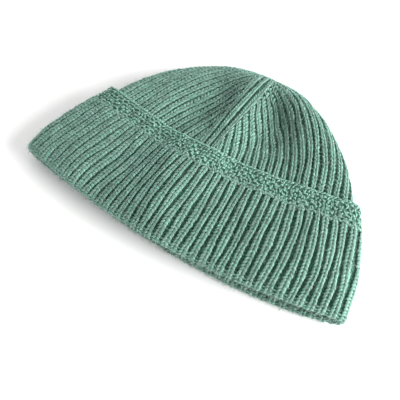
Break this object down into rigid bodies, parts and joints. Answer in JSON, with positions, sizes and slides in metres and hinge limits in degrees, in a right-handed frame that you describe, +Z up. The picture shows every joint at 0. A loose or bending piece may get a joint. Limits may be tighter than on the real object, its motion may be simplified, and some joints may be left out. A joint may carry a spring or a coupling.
{
  "type": "knit beanie",
  "caption": "Ribbed knit beanie with a deep turned-up cuff and a seed stitch band, crown shaped in three wedges, lying flat.",
  "frame": {"origin": "middle of the hat's footprint, on the surface that it lies on", "axes": "+Z up from the surface, +Y from the open rim to the tip of the crown, +X to the right as seen from the rim, so the hat is widest along X"},
  "size_m": [0.2452, 0.1627, 0.0328],
  "materials": {
    "crown_wool": "soft matt sage green wool, one by one rib",
    "cuff_wool": "soft matt sage green wool, one by one rib with a seed stitch band at the free edge"
  },
  "bodies": {
    "root": {"crown": "crown_wool", "cuff": "cuff_wool"}
  },
  "joints": []
}
